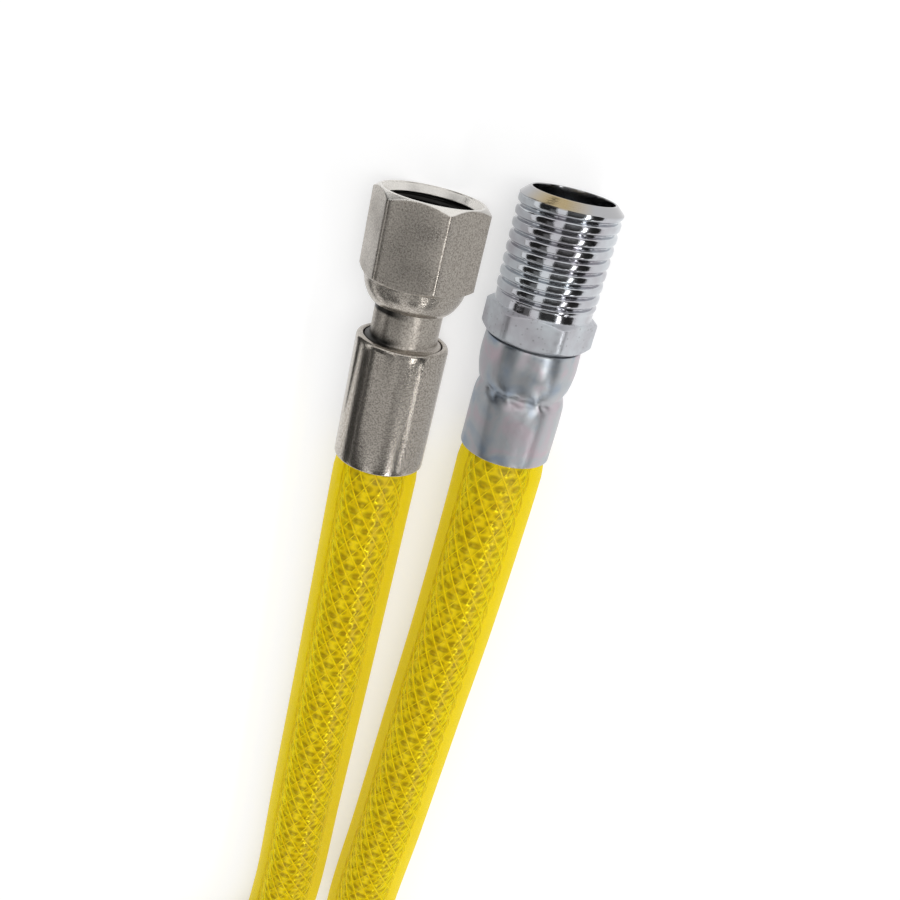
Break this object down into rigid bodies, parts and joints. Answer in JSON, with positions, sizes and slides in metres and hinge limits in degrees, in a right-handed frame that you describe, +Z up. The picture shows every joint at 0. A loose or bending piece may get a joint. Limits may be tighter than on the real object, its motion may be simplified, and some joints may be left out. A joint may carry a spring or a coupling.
{
  "type": "flexible gas hose",
  "caption": "Clear yellow braided gas hose laid in a loop, with a female swivel nut on one end and a fixed male threaded fitting on the other, held by pressed ferrules.",
  "frame": {"origin": "on the floor under the middle of the two fittings", "axes": "+Z up, +Y along both fittings out of the hose, +X from the swivel end to the male end"},
  "size_m": [0.2027, 0.4639, 0.022],
  "materials": {
    "nickel_steel": "satin nickel plate with fine speckle",
    "bright_chrome": "bright turned chrome plate",
    "zinc_steel": "half-bright zinc plate, rolled",
    "washer_fibre": "dark pressed fibre",
    "clear_yellow": "clear yellow vinyl over a crossed yarn net"
  },
  "bodies": {
    "hose_assembly": {"hose": "clear_yellow", "swivel_stem": "nickel_steel", "swivel_ferrule": "nickel_steel", "male_stem": "bright_chrome", "male_ferrule": "zinc_steel"},
    "washer": {"sealing_washer": "washer_fibre"},
    "nut": {"swivel_nut": "nickel_steel"}
  },
  "joints": [
    {"name": "nut_spin", "type": "hinge", "parent": "hose_assembly", "child": "washer", "pos_m": [-0.013, 0, 0.011], "axis": [0, 1, 0], "continuous": true},
    {"name": "nut_slide", "type": "slide", "parent": "washer", "child": "nut", "axis": [0, 1, 0], "range_m": [-0.0068, 0]}
  ]
}
